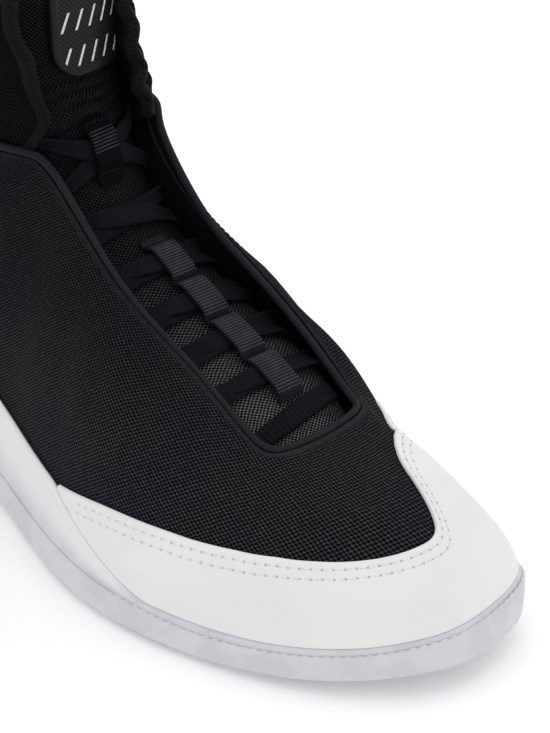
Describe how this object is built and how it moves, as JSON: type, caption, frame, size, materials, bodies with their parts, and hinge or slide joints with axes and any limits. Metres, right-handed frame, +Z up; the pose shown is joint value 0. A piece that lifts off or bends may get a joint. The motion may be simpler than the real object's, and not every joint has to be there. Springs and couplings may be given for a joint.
{
  "type": "wrestling shoe",
  "caption": "Right high-top wrestling shoe: mesh upper with piped throat, laced padded tongue, ankle cuff, white toe rand and thin rubber cup sole.",
  "frame": {"origin": "on the floor, at the middle of the shoe's length and width", "axes": "+X to the toe, +Y to the inner side of the foot, +Z up"},
  "size_m": [0.2894, 0.1016, 0.1746],
  "materials": {
    "sole_rubber": "matt",
    "insole_foam": "matt",
    "black_mesh": "open mesh",
    "white_overlay": "smooth satin",
    "dark_binding": "smooth folded",
    "flat_lace": "woven",
    "ribbed_webbing": "ribbed",
    "moulded_patch": "satin"
  },
  "bodies": {
    "root": {"outsole": "sole_rubber", "insole": "insole_foam", "upper": "black_mesh", "ankle_cuff": "black_mesh", "tongue": "black_mesh", "toe_rand": "white_overlay", "throat_piping": "dark_binding", "lace_bar": "flat_lace", "lace_crossing_1": "flat_lace", "lace_crossing_2": "flat_lace", "lace_crossing_3": "flat_lace", "lace_crossing_4": "flat_lace", "lace_crossing_5": "flat_lace", "lace_crossing_6": "flat_lace", "lace_tab_strip": "ribbed_webbing", "lace_tab_top": "ribbed_webbing", "ankle_patch": "moulded_patch"}
  },
  "joints": []
}
